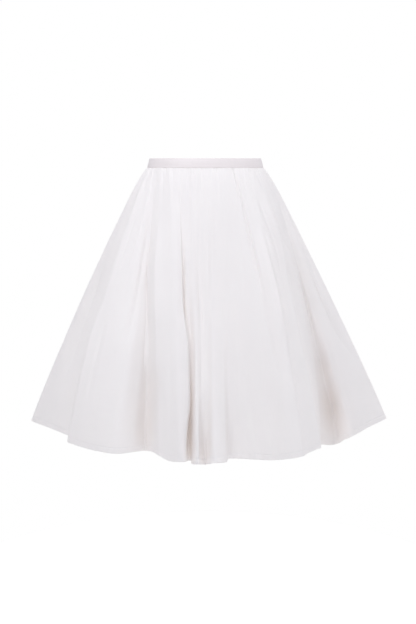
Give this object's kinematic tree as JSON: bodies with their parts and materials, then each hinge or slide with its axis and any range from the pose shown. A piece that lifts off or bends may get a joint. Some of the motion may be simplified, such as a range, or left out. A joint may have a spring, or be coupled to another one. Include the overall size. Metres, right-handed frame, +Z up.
{
  "type": "pleated midi skirt",
  "caption": "Flared midi skirt with soft unpressed pleats, gathered into a plain narrow elastic waistband, worn and hollow, open at waist and hem.",
  "frame": {"origin": "the middle of the waistband: the centre of the wearer's waist, half way up the band", "axes": "+Z up the wearer's body, -Y the way the wearer faces, +X to the wearer's left"},
  "size_m": [0.8123, 0.6871, 0.6314],
  "materials": {
    "skirt_cloth": "matte",
    "band_satin": "satin"
  },
  "bodies": {
    "root": {"waistband": "band_satin", "front_panel": "skirt_cloth", "back_panel": "skirt_cloth"}
  },
  "joints": []
}
